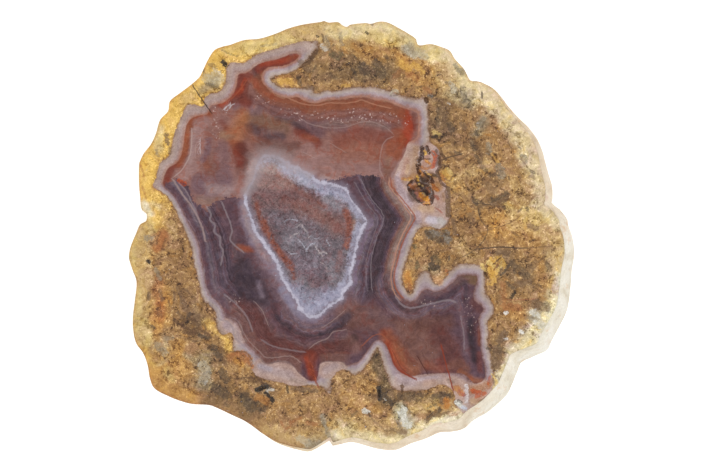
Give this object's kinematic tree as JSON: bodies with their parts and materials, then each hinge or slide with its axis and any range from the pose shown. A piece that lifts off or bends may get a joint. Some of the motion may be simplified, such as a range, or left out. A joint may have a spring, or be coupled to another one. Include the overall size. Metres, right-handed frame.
{
  "type": "agate nodule",
  "caption": "Sawn half of a banded agate nodule: a flat polished face over a rounded knobbly back that rests on a small flat spot.",
  "frame": {"origin": "middle of the outline's box, on the plane of the flat spot that the stone rests on", "axes": "+Z out of the polished face, +X along the longer side of the face, +Y towards the pointed agate tongue"},
  "size_m": [0.0893, 0.086, 0.038],
  "materials": {
    "stone": "satin"
  },
  "bodies": {
    "root": {"agate_nodule": "stone"}
  },
  "joints": []
}
